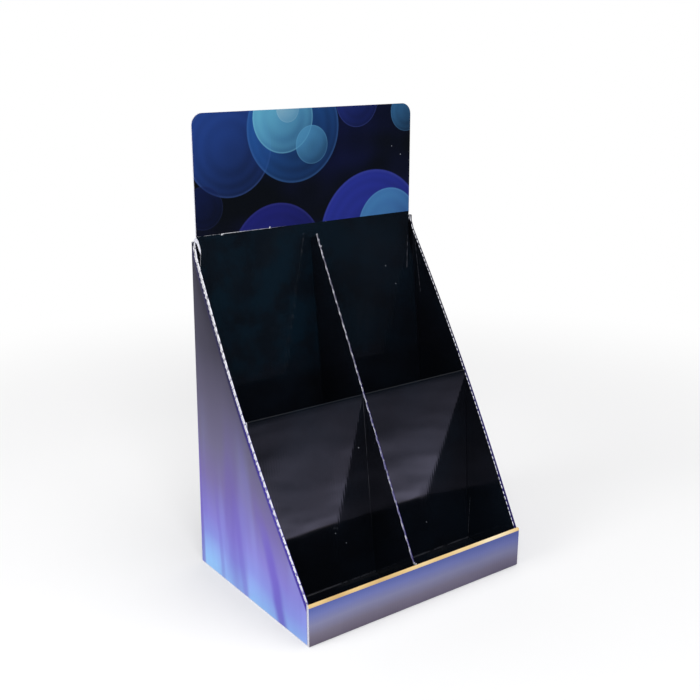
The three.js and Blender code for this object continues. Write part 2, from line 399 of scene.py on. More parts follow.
def ramp(value, colours):
    node = value.feed("ShaderNodeValToRGB", {"Fac": value})
    elements = node.color_ramp.elements
    while len(elements) < len(colours):
        elements.new(0.5)
    for element, (place, colour) in zip(elements, colours):
        element.position = place
        element.color = colourOf(colour)
    return Value(node.outputs["Color"])


def axes(place):
    return [Value(axis) for axis in place.feed("ShaderNodeSeparateXYZ", {0: place}).outputs]


def objectPlace(material):
    place = Value(addNode(material.node_tree, "ShaderNodeTexCoord").outputs["Object"])
    return [place] + axes(place)


def rays(tree, *kinds):
    path = addNode(tree, "ShaderNodeLightPath")
    return [Value(path.outputs[f"Is {kind} Ray"]) for kind in kinds]


# an input without a number is a place
def newGroup(name, inputs, outputs):
    group = bpy.data.node_groups.new(name, "ShaderNodeTree")
    for label, value in inputs.items():
        kind = "NodeSocketVector" if value is None else "NodeSocketFloat"
        socket = group.interface.new_socket(name=label, in_out="INPUT", socket_type=kind)
        if value is not None:
            socket.default_value = value
    for label in outputs:
        group.interface.new_socket(name=label, in_out="OUTPUT", socket_type="NodeSocketFloat")
    given = {socket.name: Value(socket) for socket in group.nodes.new("NodeGroupInput").outputs}
    return group, given, group.nodes.new("NodeGroupOutput")


def useGroup(group, place, **values):
    node = place.feed("ShaderNodeGroup", {"Vector": place, **values}, node_tree=group)
    return {output.name: Value(output) for output in node.outputs}


# Board surface: faint ridges over the flutes, a slow waviness and a fine paper tooth, as one height

def makeBoardReliefGroup():
    inputs = {"Vector": None, "Flutes": 0.2, "Waves": 1.0, "Tooth": 0.1}
    group, given, result = newGroup("boardRelief", inputs, ["Height"])
    place = given["Vector"]
    turns = axes(place)[0] * (2 * math.pi / boardValues["flutePitch"])
    ridges = turns.math("SINE") * given["Flutes"]
    waves = noise(place, 14.0, 1.5) * given["Waves"]
    tooth = noise(place, 900.0, 2.0) * given["Tooth"]
    fill(result, {"Height": ridges + waves + tooth})
    return group


# Handling marks: soft rubbed patches, thin scuff lines and a few pale specks

def makeMarksGroup():
    group, given, result = newGroup("handlingMarks", {"Vector": None, "Specks": 0.4}, ["Rubbed", "Speck"])
    place = given["Vector"]
    patches = noise(place, 22.0, 5.0, 0.6).mapped(0.48, 0.72)
    streaks = noise(place, (160, 160, 12), 3.0).mapped(0.5, 0.8)
    rubbed = (patches * 0.7).math("ADD", streaks * 0.3, clamp=True)
    inputs = {"Vector": place, "Scale": 75.0, "Randomness": 1.0}
    cells = place.feed("ShaderNodeTexVoronoi", inputs, feature="F1")
    near = Value(cells.outputs["Distance"]).mapped(0.03, 0.055, 1.0, 0.0)
    pick = place.feed("ShaderNodeSeparateColor", {0: Value(cells.outputs["Color"])})
    chosen = Value(pick.outputs[0]) < given["Specks"] * 0.2
    fill(result, {"Rubbed": rubbed, "Speck": near * chosen})
    return group


boardRelief = makeBoardReliefGroup()
handlingMarks = makeMarksGroup()


def newMaterial(name):
    material = bpy.data.materials.new(name)
    material.use_nodes = True
    return material, material.node_tree.nodes["Principled BSDF"]


def bumpFrom(shader, height, strength, distance):
    bump = height.feed("ShaderNodeBump", {"Strength": strength, "Distance": distance, "Height": height})
    fill(shader, {"Normal": Value(bump.outputs["Normal"])})


def reliefOn(shader, place, strength, distance, **amounts):
    bumpFrom(shader, useGroup(boardRelief, place, **amounts)["Height"], strength, distance)


# A thin dotted worn line on a flat face, between two points given as (across, height)

def wornLine(place, across, height, start, end, width):
    slope = (end[0] - start[0]) / (end[1] - start[1])
    near = abs(across - ((height - start[1]) * slope + start[0])) < width / 2
    span = (height > end[1]) * (height < start[1])
    return near * span * noise(place, (60, 60, 420), 2.0).mapped(0.4, 0.6)


# Black laminated board

blackValues = {
    "base": (9, 11, 16),
    "lift": (14, 20, 28),
    "roughness": 0.07,
    "rubbedRoughness": 0.17,
    "ior": 1.6,
    "specks": 0.35,
    "speckColour": (170, 175, 185),
    "scuffColour": (150, 150, 162),
    "scuffStrength": 0.3,
    # worn lines on the right liner, as (depth, height) from and to, and width
    "scuffsFrom": 0.12,
    "cornerScuff": ((0.0895, 0.372), (0.0763, 0.2985), 0.6 * mm),
    "footScuff": ((-0.0333, 0.058), (-0.0326, 0.005), 0.7 * mm),
}


def cloudyBlack(place, values):
    return mixColour(noise(place, 9.0, 4.0, 0.6).mapped(0.35, 0.75), values["base"], values["lift"])


def finishLaminate(shader, colour, place, values, specks, shine):
    marks = useGroup(handlingMarks, place, Specks=specks)
    colour = mixColour(marks["Speck"], colour, blackValues["speckColour"])
    roughness = marks["Rubbed"].mapped(0.0, 1.0, values["roughness"], values["rubbedRoughness"])
    fill(shader, {"Base Color": colour, "Roughness": roughness, **shine})
    reliefOn(shader, place, 0.35, 0.6 * mm, Flutes=0.035, Waves=2.2, Tooth=0.01)


def makeBlackBoard(name, values):
    material, shader = newMaterial(name)
    place, x, y, z = objectPlace(material)
    scuff = wornLine(place, y, z, *values["cornerScuff"]) | wornLine(place, y, z, *values["footScuff"])
    scuff = scuff * (x > values["scuffsFrom"]) * values["scuffStrength"]
    colour = mixColour(scuff, cloudyBlack(place, values), values["scuffColour"])
    finishLaminate(shader, colour, place, values, values["specks"], {"IOR": values["ior"]})
    return material


# Raw cut board and unprinted paper

rawEdgeValues = {
    "shadow": (178, 178, 194),
    "light": (244, 245, 252),
    "ink": (26, 21, 66),
    "lowInk": (58, 44, 148),
    "inkHeights": (0.3, 0.14),
    "grain": (1400, 1400, 500),
    "dashPitch": 3.3 * mm,    # flute mouths, measured across the box's depth
    "bumpPitch": 5.4 * mm,    # longer crushed bumps on the left side
    "softness": 0.15,
    "raggedness": 0.9,
}


def makeRawBoard(values):
    material, shader = newMaterial("rawBoardEdge")
    fibres = noise(objectPlace(material)[0], values["grain"], 4.0, 0.7)
    colour = ramp(fibres, [(0.25, values["shadow"]), (0.75, values["light"])])
    fill(shader, {"Base Color": colour, "Roughness": 0.85})
    bumpFrom(shader, fibres, 0.5, 0.3 * mm)
    return material


# White paper at a cut, broken into dashes by painted shade in the flute mouths; ink covers the side towards
# the printed face
def makeCutEdge(name, values, inkFrom, pitch, gapShare, mouthShadeStrength, inkBelow=-4.0, patchy=0.0):
    material, shader = newMaterial(name)
    place, x, y, z = objectPlace(material)
    fibres = noise(place, values["grain"], 4.0, 0.7)
    colour = ramp(fibres, [(0.2, values["shadow"]), (0.6, values["light"])])
    wander = noise(place, (60, 160, 160), 2.0)
    part = (y / pitch + wander * values["raggedness"]).math("FRACT")
    # painted shade in the open flute mouths, drawn in the ink's colour
    gap = part.mapped(gapShare * 0.6, gapShare * 1.4, mouthShadeStrength, 0.0)
    across = Value(addNode(material.node_tree, "ShaderNodeAttribute", attribute_name="across").outputs["Fac"])
    across = across + (wander - 0.5) * values["raggedness"]
    soft = values["softness"]
    inked = across.mapped(inkFrom - soft, inkFrom + soft)
    under = across.mapped(inkBelow - soft, inkBelow + soft, 1.0, 0.0)
    dim = noise(place, (130, 130, 130), 2.0, 0.6).mapped(0.42, 0.58, patchy, 0.0)
    ink = mixColour(z.mapped(*values["inkHeights"]), values["ink"], values["lowInk"])
    colour = mixColour(gap | inked | under | dim, colour, ink)
    fill(shader, {"Base Color": colour, "Roughness": 0.8, "Specular IOR Level": 0.2})
    bumpFrom(shader, fibres, 0.5, 0.3 * mm)
    return material


# dark board for the flute tunnels under the cut papers: painted shade
def makePaintedShade(name, dark, light):
    material, shader = newMaterial(name)
    fibres = noise(objectPlace(material)[0], rawEdgeValues["grain"], 3.0)
    fill(shader, {"Base Color": ramp(fibres, [(0.3, dark), (0.7, light)]), "Roughness": 0.9})
    return material


def paperColour(place, shade, light):
    return ramp(noise(place, 90.0, 5.0, 0.65), [(0.3, shade), (0.7, light)])


def makePlainPaper():
    material, shader = newMaterial("plainPaperFace")
    place = objectPlace(material)[0]
    fill(shader, {"Base Color": paperColour(place, (219, 216, 210), (229, 227, 221)), "Roughness": 0.7})
    reliefOn(shader, place, 0.3, 0.5 * mm, Flutes=0.3, Waves=1.0, Tooth=0.25)
    return material


# Outside print: grey above, violet to pale blue below, with soft upright streaks; the lip has its own fade
# and a gold band, with painted shade darkening the lip to the right and the gold towards the roll's crest

printValues = {
    "sides": [(0.0, (138, 190, 240)), (0.04, (136, 174, 234)), (0.1, (128, 138, 216)),
              (0.165, (125, 118, 200)), (0.3, (110, 99, 151)), (0.42, (97, 92, 121)), (0.56, (75, 71, 91)),
              (0.7, (42, 40, 51)), (0.85, (13, 13, 19)), (1.0, (10, 10, 15))],
    "streak": (92, 68, 168),
    "paleStreak": (150, 164, 236),
    "footStreak": (98, 78, 186),
    "backStreak": (104, 86, 178),
    "waver": 14 * mm,
    # place on the base line, lean, half width, strength
    "sideStreaks": [(-67 * mm, 0.3, 15 * mm, 0.75), (12 * mm, 0.1, 9 * mm, 0.3),
                    (62 * mm, 0.05, 7 * mm, 0.3)],
    "border": (16, 13, 50),
    "lowBorder": (62, 44, 150),
    "borderWidth": 4.0 * mm,
    "lip": [(0.0, (96, 88, 102)), (0.25, (114, 108, 126)), (0.5, (128, 129, 162)), (0.72, (110, 118, 176)),
            (0.9, (86, 100, 168))],
    # painted shade, darkening the lip towards the right
    "lipPaintedShade": (52, 54, 92),
    "gold": [(0.2, (176, 138, 84)), (0.5, (228, 196, 136)), (0.8, (246, 230, 194))],
    # painted shade, darkening the gold band towards the roll's crest
    "goldPaintedShade": (96, 62, 26),
    "goldWidth": 3.7 * mm,
    "bleed": 9 * mm,
    "rubbed": (220, 220, 230),
    "rubStrength": 0.02,
    "roughness": 0.4,
    "rubbedRoughness": 0.52,
    "sheen": 0.12,
    # what the print throws on the floor and on its other faces
    "bounce": (166, 166, 172),
    "bounceShare": 0.85,
}
crestY = trayFront + lipThickness * 0.72


def sideColour(place, x, y, z, values):
    tilt = y.mapped(trayBack, trayFront, -0.03, 0.05, smooth=False)
    height = z / wallHeight + (noise(place, (3.0, 9.0, 2.0), 2.0) - 0.5) * 0.16 + tilt
    colour = ramp(height, values["sides"])
    low = height.mapped(0.62, 0.2)
    streaks = noise(place, (12, 22, 2.6), 2.5, 0.55, 0.4).mapped(0.44, 0.76)
    colour = mixColour(streaks * low * 0.5, colour, values["streak"])
    glows = noise(place, (16, 30, 4.0), 1.0).mapped(0.5, 0.76)
    colour = mixColour(glows * low * 0.22, colour, values["paleStreak"])
    # softer violet streaks at the foot, three of them placed, and one down the side's back edge
    narrow = noise(place, (12, 27, 5.5), 1.0, 0.5, 0.5).mapped(0.45, 0.68)
    colour = mixColour(narrow * z.mapped(0.19, 0.08, 0.0, 0.2), colour, values["footStreak"])
    waver = (noise(place, (8, 8, 16), 2.0) - 0.5) * values["waver"]
    for centre, lean, reach, strength in values["sideStreaks"]:
        apart = abs(y - (z * lean + centre) + waver)
        part = apart.mapped(reach, reach * 0.2) * z.mapped(0.15, 0.06, 0.0, strength)
        colour = mixColour(part, colour, values["footStreak"])
    byBack = y.mapped(trayBack - 13 * mm, trayBack - 8 * mm)
    byBack = byBack * (abs(x) > halfWidth - 4 * mm)
    return mixColour(byBack * low * 0.7, colour, values["backStreak"])


# dark border along the slanted cut and the wall's front edge
def withBorder(colour, y, z, values):
    cutY = (z - trayValues["cutStart"]) * cutSlope + wallFront
    inside = (y - cutY) * math.cos(math.atan(cutSlope))
    part = inside.mapped(values["borderWidth"], values["borderWidth"] * 0.7) * (y < noseY)
    border = mixColour(z.mapped(0.26, 0.1), values["border"], values["lowBorder"])
    return mixColour(part, colour, border)


def lipColour(place, x, y, z, values):
    height = z / lipHeight + (noise(place, (9, 1, 6), 2.0) - 0.5) * 0.2
    # painted shade: the lip is made darker towards the right
    shadeToRight = x.mapped(-0.15, 0.15, 0.0, 0.3, smooth=False)
    colour = mixColour(shadeToRight, ramp(height, values["lip"]), values["lipPaintedShade"])
    gold = ramp(noise(place, (14, 1, 1), 1.0), values["gold"])
    # painted shade: the gold darkens towards the back of the roll's crest, where the roll turns away into
    # shade
    crest = y.mapped(trayFront + lipThickness * 0.4, crestY, 0.0, 0.85)
    gold = mixColour(crest, gold, values["goldPaintedShade"])
    goldLow = lipHeight - values["goldWidth"]
    return mixColour(z.mapped(goldLow, goldLow + 0.5 * mm), colour, gold)


# the underside is bare paper inside a narrow printed bleed
def withUnderside(colour, place, x, y, z, values):
    middleY = (trayFront + trayBack) / 2
    reachY = (trayBack - trayFront) / 2 - values["bleed"]
    bare = (abs(x) < halfWidth - values["bleed"]) * (abs(y - middleY) < reachY)
    return mixColour((z < 0.4 * mm) * bare, colour, paperColour(place, (218, 215, 209), (228, 226, 220)))


# the lip's inner side and the roll behind its middle are black
def withBlackLip(colour, x, y, z):
    inner = (y > crestY) * (y < wallFront + 0.1 * mm) * (z > 3 * mm)
    return mixColour(inner * (abs(x) < halfWidth - 1.2 * mm), colour, blackValues["base"])


def makeOutsidePrint(values):
    material, shader = newMaterial("outsidePrint")
    place, x, y, z = objectPlace(material)
    colour = withBorder(sideColour(place, x, y, z, values), y, z, values)
    colour = mixColour(y < crestY, colour, lipColour(place, x, y, z, values))
    colour = withBlackLip(withUnderside(colour, place, x, y, z, values), x, y, z)
    marks = useGroup(handlingMarks, place, Specks=0.12)
    colour = mixColour(marks["Rubbed"] * values["rubStrength"], colour, values["rubbed"])
    thrown, = rays(material.node_tree, "Diffuse")
    colour = mixColour(thrown * values["bounceShare"], colour, values["bounce"])
    roughness = marks["Rubbed"].mapped(0.0, 1.0, values["roughness"], values["rubbedRoughness"])
    fill(shader, {"Base Color": colour, "Roughness": roughness, "Specular IOR Level": values["sheen"]})
    reliefOn(shader, place, 0.3, 0.6 * mm, Flutes=0.12, Waves=1.4, Tooth=0.05)
    return material


# Insert print: near-black navy with soft overlapping discs on the header, one small pale disc being a painted
# highlight, black below it, and a cracked white fold line between them

headerValues = {
    "ground": (9, 13, 19),
    "glow": (18, 24, 74),
    # centre x, centre height over the fold, radius, colour, strength, number of ripples (millimetres)
    "discs": [
        (-104, 92, 54, (30, 58, 124), 0.95, 3),
        (-138, 30, 24, (16, 28, 74), 0.6, 2),
        (-20, 110, 62, (30, 76, 140), 0.9, 3),
        (-34, 122, 40, (88, 158, 186), 0.95, 2),
        (4, 90, 22, (70, 132, 172), 0.7, 1),
        # the small pale disc here is a painted highlight, the glare on the header's gloss
        (-28, 131, 15, (140, 170, 186), 0.55, 1),
        (68, 136, 30, (28, 42, 112), 0.85, 2),
        (142, 122, 24, (48, 98, 142), 0.7, 2),
        (92, -22, 78, (34, 44, 132), 0.95, 4),
        (116, -14, 46, (62, 118, 166), 0.8, 2),
        (-44, -34, 62, (28, 32, 110), 0.8, 3),
    ],
    "rimLift": 34,
    "rimStrength": 0.35,
    "sheen": 0.1,
    "panelSheen": 0.5,
    "roughness": 0.3,
    "rubbedRoughness": 0.4,
    "specks": 0.45,
    "crack": (226, 226, 232),
    "crackStrength": 0.85,
    # flaked spots along the fold, like the discs
    "chips": [(-116.8, -0.7, 1.0), (-115.2, -0.2, 0.7), (-54.5, 0.9, 0.8), (-55.0, 0.0, 0.6)],
    "mottle": (10, 25, 36),
    "worn": (150, 150, 162),
    "wornWidth": 0.42 * mm,
    "slitX": 1.5 * mm,
    "slitTop": 212 * mm,
    "slitWear": 0.26,
    "foldWear": 0.11,
    "scuff": ((0.1444, 0.372), (0.1402, 0.329), 0.6 * mm),
    "scuffStrength": 0.3,
}


def makeDiscGroup():
    inputs = {"Vector": None, "Centre": None, "Radius": 0.03, "Strength": 0.8, "Ripples": 4.0}
    group, given, result = newGroup("softDisc", inputs, ["Fill", "Rim"])
    place, centre, radius = given["Vector"], given["Centre"], given["Radius"]
    share = place.vector("DISTANCE", centre, "Value") / radius
    body = share.mapped(1.0, 0.975)
    lit = place.vector("SUBTRACT", centre).vector("DOT_PRODUCT", (-0.6, 0.0, 0.8), "Value") / radius
    waves = (share * share * given["Ripples"] * (2 * math.pi)).math("SINE") * 0.05
    shade = lit.mapped(-1.0, 1.0, 0.3, 1.0) + waves
    rim = body * share.mapped(0.93, 1.0)
    fill(result, {"Fill": body * shade * given["Strength"], "Rim": rim * given["Strength"]})
    return group


softDisc = makeDiscGroup()


def discAt(flatPlace, across, over, radius, strength=1.0, ripples=0.0):
    inputs = {"Centre": (across * mm, 0, over * mm), "Radius": radius * mm}
    return useGroup(softDisc, flatPlace, Strength=strength, Ripples=ripples, **inputs)


# The cracked fold: a thin broken white line, stronger to the left, with a few flaked spots
def foldCrack(place, x, z, values):
    ragged = noise(place, (420, 1, 900), 3.0, 0.7)
    bolder = x.mapped(-0.122, -0.112) * x.mapped(-0.058, -0.052, 1.0, 0.0)
    faint = x.mapped(-0.05, -0.03, 0.48 * mm, 0.34 * mm)
    bold = x.mapped(-0.098, -0.084, 0.85 * mm, 0.66 * mm)
    width = ragged * bolder.mapped(0.0, 1.0, faint, bold) - 0.2 * mm
    crack = abs(z - headerFold) < width
    for across, over, radius in values["chips"]:
        crack = crack | (discAt(flatOverFold(x, z), across, over, radius)["Fill"] > 0.3)
    return crack * values["crackStrength"]


def flatOverFold(x, z):
    flat = x.feed("ShaderNodeCombineXYZ", {"X": x, "Z": z - headerFold})
    return Value(flat.outputs[0])


def makeHeaderPrint(values):
    material, shader = newMaterial("headerPrint")
    place, x, y, z = objectPlace(material)
    flatPlace = flatOverFold(x, z)
    glow = noise(flatPlace, (7, 1, 9), 2.0).mapped(0.4, 0.75)
    colour = mixColour(glow * 0.6, values["ground"], values["glow"])
    for across, over, radius, rgb, strength, ripples in values["discs"]:
        disc = discAt(flatPlace, across, over, radius, strength, ripples)
        pale = [min(255, c + values["rimLift"]) for c in rgb]
        colour = mixColour(disc["Fill"], colour, rgb)
        colour = mixColour(disc["Rim"] * values["rimStrength"], colour, pale)
    colour = mixColour(foldCrack(place, x, z, values), colour, values["crack"])
    shine = {"Specular IOR Level": values["sheen"]}
    finishLaminate(shader, colour, place, values, values["specks"], shine)
    return material


# Fine worn lines where the riser is slit for the divider and where it folds to the floor
def panelWear(place, x, y, z, values):
    half = values["wornWidth"] / 2
    bySlit = (abs(x + values["slitX"]) < half) * z.mapped(0.05, 0.12) * (z < values["slitTop"])
    bySlit = bySlit * (y < riserY(riserTop) + lipThickness / 2)
    byFold = (abs(y - insertValues["riserFoot"]) < half) * (z < 6 * mm)
    worn = bySlit * values["slitWear"] | byFold * values["foldWear"]
    return worn * noise(place, (70, 40, 60), 3.0).mapped(0.25, 0.65)


# Black inside, with a faint cloud on the upper panel
def makePanelPrint(name, values, black, sheen):
    material, shader = newMaterial(name)
    place, x, y, z = objectPlace(material)
    mottled = noise(place, 24.0, 5.0, 0.65).mapped(0.4, 0.6, 0.25, 1.0)
    aloft = z.mapped(0.215, 0.25) * x.mapped(-0.04, 0.1, 0.9, 0.3)
    colour = mixColour(mottled * aloft, cloudyBlack(place, black), values["mottle"])
    colour = mixColour(foldCrack(place, x, z, values), colour, values["crack"])
    colour = mixColour(panelWear(place, x, y, z, values), colour, values["worn"])
    scuff = wornLine(place, x, z, *values["scuff"]) * values["scuffStrength"]
    colour = mixColour(scuff, colour, values["worn"])
    shine = {"IOR": black["ior"], "Specular IOR Level": sheen}
    finishLaminate(shader, colour, place, black, values["specks"], shine)
    return material


blackBoard = makeBlackBoard("blackLaminate", blackValues)
rawBoard = makeRawBoard(rawEdgeValues)
tunnelPaintedShade = makePaintedShade("flutePaintedShade", (20, 19, 30), (44, 42, 54))
bump, dash = rawEdgeValues["bumpPitch"], rawEdgeValues["dashPitch"]
leftOuterCut = makeCutEdge("leftOuterCutEdge", rawEdgeValues, -0.3, bump, 0.2, 0.6)
leftCut = makeCutEdge("leftCutEdge", rawEdgeValues, 2.0, bump, 0.2, 0.8, -0.6)
# the right side's cut edges: paper made lighter to make up for the weaker light there, which is painted
# light, and the ink darker
rightEdgeValues = dict(rawEdgeValues, shadow=(206, 206, 220), ink=(10, 8, 36), lowInk=(26, 10, 92))
rightOuterCut = makeCutEdge("rightOuterCutEdge", rightEdgeValues, -4.0, dash, 0.5, 0.8)
rightCut = makeCutEdge("rightCutEdge", rightEdgeValues, 0.1, dash, 0.36, 0.97)
dividerCut = makeCutEdge("dividerCutEdge", rawEdgeValues, 0.75, dash, 0.26, 0.75, -1.1, 0.7)
plainPaper = makePlainPaper()
outsidePrint = makeOutsidePrint(printValues)
headerPrint = makeHeaderPrint(headerValues)
panelPrint = makePanelPrint("panelPrint", headerValues, blackValues, headerValues["panelSheen"])
rollPrint = makePanelPrint("rollPrint", headerValues, blackValues, headerValues["sheen"])
print("materials ready")

# Fluted edges, with Geometry Nodes: two cut papers and the waved core between them, along a raw edge

edgeTreeInputs = {
    "Geometry": "Geometry", "Pitch": "Float", "Swing": "Float", "Half Board": "Float", "Across": "Vector",
    "Down": "Vector", "Torn": "Float", "Bump Pitch": "Float", "Bump Height": "Float", "Material": "Material",
}


def makeEdgeTree():
    tree = bpy.data.node_groups.new("flutedEdge", "GeometryNodeTree")
    flutePoints = boardValues["flutePoints"]
    identifiers = {}
    for label, kind in edgeTreeInputs.items():
        socket = tree.interface.new_socket(name=label, in_out="INPUT", socket_type="NodeSocket" + kind)
        identifiers[label] = socket.identifier
    tree.interface.new_socket(name="Geometry", in_out="OUTPUT", socket_type="NodeSocketGeometry")
    given = {socket.name: Value(socket) for socket in tree.nodes.new("NodeGroupInput").outputs}

    def made(kind, inputs, output=0, **settings):
        return Value(fill(addNode(tree, kind, **settings), inputs).outputs[output])

    curve = made("GeometryNodeMeshToCurve", {"Mesh": given["Geometry"]})
    inputs = {"Curve": curve, "Length": given["Pitch"] / flutePoints}
    line = made("GeometryNodeResampleCurve", inputs, mode="LENGTH")
    along = made("GeometryNodeSplineParameter", {}, "Length")
    swing = (along / given["Pitch"] * (2 * math.pi)).math("SINE") * given["Swing"]
    ragged = made("ShaderNodeTexNoise", {"Scale": 420.0, "Detail": 2.0}, "Fac")
    torn = given["Down"].vector("SCALE", ragged * given["Torn"])
    bump = (along / given["Bump Pitch"]).math("FRACT") * given["Bump Height"]
    half = given["Half Board"]
    join = tree.nodes.new("GeometryNodeJoinGeometry")
    for offset in (swing, half, half * -1.0 - bump):
        shift = given["Across"].vector("SCALE", offset).vector("ADD", torn)
        moved = made("GeometryNodeSetPosition", {"Geometry": line, "Offset": shift})
        inputs = {"Name": "across", "Geometry": moved, "Value": offset / half}
        stored = made("GeometryNodeStoreNamedAttribute", inputs)
        wire = made("GeometryNodeCurveToMesh", {"Curve": stored})
        inputs = {"Mesh": wire, "Offset": given["Down"]}
        fill(join, {0: made("GeometryNodeExtrudeMesh", inputs, mode="EDGES")})
    real = made("GeometryNodeRealizeInstances", {0: Value(join.outputs[0])})
    coloured = made("GeometryNodeSetMaterial", {"Geometry": real, "Material": given["Material"]})
    fill(tree.nodes.new("NodeGroupOutput"), {0: coloured})
    return tree, identifiers


edgeTree, edgeInputs = makeEdgeTree()


def plainCopy(thing):
    graph = bpy.context.evaluated_depsgraph_get()
    graph.update()
    mesh = bpy.data.meshes.new_from_object(thing.evaluated_get(graph))
    thing.modifiers.clear()
    thing.data = mesh
    return thing


def pitchAlong(slope):
    return boardValues["flutePitch"] / math.sin(math.atan(slope))


def flutedEdge(name, points, across, down, pitch, material, bumpHeight=0.0):
    mesh = bpy.data.meshes.new(name)
    mesh.from_pydata(points, [(k, k + 1) for k in range(len(points) - 1)], [])
    thing = placed(name, mesh)
    nodes = thing.modifiers.new("flutes", "NODES")
    nodes.node_group = edgeTree
    paper = boardValues["paper"]
    values = {
        "Pitch": pitch,
        "Swing": thickness / 2 - 1.6 * paper,
        "Half Board": thickness / 2 - paper / 2,
        "Across": across,
        "Down": Vector(down) * boardValues["stripDepth"],
        "Torn": boardValues["torn"],
        "Bump Pitch": rawEdgeValues["bumpPitch"] * pitch / boardValues["flutePitch"],
        "Bump Height": bumpHeight,
        "Material": material,
    }
    for label, value in values.items():
        nodes[edgeInputs[label]] = value
    walls = thing.modifiers.new("paper", "SOLIDIFY")
    walls.thickness = paper
    walls.offset = 0.0
    thing.update_tag()
    return plainCopy(thing)


def joinObjects(name, things):
    vertices, faces, slots, materials, across = [], [], [], [], []
    for thing in things:
        start = len(vertices)
        mesh = thing.data
        vertices += [vertex.co.copy() for vertex in mesh.vertices]
        given = mesh.attributes.get("across")
        across += [item.value for item in given.data] if given else [0.0] * len(mesh.vertices)
        local = []
        for material in mesh.materials:
            if material not in materials:
                materials.append(material)
            local.append(materials.index(material))
        for polygon in mesh.polygons:
            faces.append([start + k for k in polygon.vertices])
            slots.append(local[polygon.material_index])
        bpy.data.objects.remove(thing)
    whole = newObject(name, vertices, faces, slots, materials)
    storeAcross(whole, across)
    return whole


# Outer tray

def wallPoint(a, z, side):
    y = mixed(wallFront, backFaceY(z), a)
    x = halfWidth + wallBulge(y, z)
    return Vector((side * (x + splayAt(x, z)), y, z))


# where the wall's cut edge crosses a column of its grid
def topHeight(a):
    low, high = trayValues["cutStart"], wallHeight
    if mixed(wallFront, backFaceY(high), a) >= noseY:
        return high
    for _ in range(40):
        middle = (low + high) / 2
        if mixed(wallFront, backFaceY(middle), a) > cutEdgeY(middle):
            low = middle
        else:
            high = middle
    return low


noseShare = (noseY - wallFront) / (backFaceY(wallHeight) - wallFront)
noseGap = trayValues["noseGap"]
wallShares = spread(0.0, noseShare - noseGap, trayValues["wallColumns"]) + [noseShare + noseGap]
edgeDepth = boardValues["edgeDepth"]


def bottomRound(z, radius):
    return 0.0 if z >= radius else radius - math.sqrt(max(0.0, radius ** 2 - (radius - z) ** 2))


def trayPoint(kind, share, z):
    radius = boardValues["foldRadius"]
    back, inset = backFaceY(z), bottomRound(z, radius)
    edgeX = halfWidth + splayAt(halfWidth, z)
    if kind == "back":
        return Vector((mixed(-(edgeX - radius), edgeX - radius, share), back - inset, z))
    side = -1 if kind.startswith("left") else 1
    if kind in ("left", "right"):
        y = min(mixed(wallFront, back, share), back - radius)
        x = halfWidth + wallBulge(y, z)
        return Vector((side * (x + splayAt(x, z) - inset), y, z))
    angle = (share if side < 0 else 1 - share) * math.pi / 2
    reach = radius - inset * 0.8
    x, y = edgeX - radius + reach * math.cos(angle), back - radius + reach * math.sin(angle)
    return Vector((side * x, y, z))


def lipOuterLine():
    outerRadius, radius = lipThickness / 2, boardValues["foldRadius"]
    rollZ = lipHeight - outerRadius
    points = [Vector((wallFront, thickness))]
    points += arc(Vector((trayFront + outerRadius, rollZ)), outerRadius, 0.0, math.pi)
    corner = [Vector((trayFront, rollZ)), Vector((trayFront, 0.0)), Vector((trayBack - radius, 0.0))]
    return subdivided(points + roundFolds(corner, radius)[1:], trayValues["longest"])


def buildTray():
    builder = BoardBuilder()
    radius = boardValues["foldRadius"]
    corner = spread(0.0, 1.0, trayValues["cornerColumns"])
    back = spread(0.0, 1.0, trayValues["backColumns"])[1:-1]
    parts = [("left", wallShares), ("leftCorner", corner), ("back", back), ("rightCorner", corner),
             ("right", wallShares[::-1])]
    columns = [(kind, share) for kind, shares in parts for share in shares]
    grid = []
    for kind, share in columns:
        top = topHeight(share) if kind in ("left", "right") else wallHeight
        heights = [radius * f for f in (0.0, 0.15, 0.4, 0.7)]
        heights += spread(radius, top - edgeDepth, boardValues["rows"])
        grid.append([trayPoint(kind, share, z) for z in heights])
    builder.addGrid(grid, side=-1, rimSlot=3)
    # lip and base, one strip swept across the width
    reach = halfWidth - edgeDepth * 0.8
    outer = lipOuterLine()
    widths = spread(-reach, reach, trayValues["lipColumns"])
    builder.addGrid([[at(x + splayAt(x, p.y), p) for p in outer] for x in widths], side=-1)
    board = builder.finish("trayBoard", [outsidePrint, blackBoard, rawBoard, leftOuterCut, rightOuterCut])
    reslot(board, 3, 4, lambda centre: centre.x > 0)
    return board


trayBoard = buildTray()


def wallEdgePoints(side, inward):
    points = [wallPoint(a, topHeight(a), side) - Vector((side * inward, 0, 0)) for a in wallShares]
    return points + [Vector((points[-1].x, backFaceY(wallHeight) - thickness, wallHeight))]


def wallEdge(name, points, side, material, bumpHeight=0.0):
    return flutedEdge(name, points, (side, 0, 0), (0, 0, -1), pitchAlong(cutSlope), material, bumpHeight)


def buildTrayEdges():
    parts = []
    for side, material in ((-1, leftOuterCut), (1, rightOuterCut)):
        parts.append(wallEdge("wallCut", wallEdgePoints(side, thickness / 2), side, material))
    return joinObjects("trayCutEdges", parts)


trayEdges = buildTrayEdges()
print("outer tray ready")

# Side liners

linerValues = {
    "drop": 0.2 * mm,       # under the tray wall's cut
    "setBack": 0.3 * mm,
    "leftBumps": 0.45 * mm,
}


def buildLiner(name, side, material):
    builder = BoardBuilder()
    half = halfWidth - 2 * thickness - plyGap
    grid = []
    for share in wallShares:
        top = topHeight(share) - linerValues["drop"]
        column = []
        for z in spread(insertValues["floorZ"], top - edgeDepth, boardValues["rows"]):
            y = mixed(wallFront + plyGap, backFaceY(z) - thickness - plyGap, share)
            x = half + wallBulge(y, z)
            column.append(Vector((side * (x + splayAt(x, z)), y, z)))
        grid.append(column)
    builder.addGrid(grid, side=-side)
    return builder.finish(name, [blackBoard, plainPaper, material], -1.0)


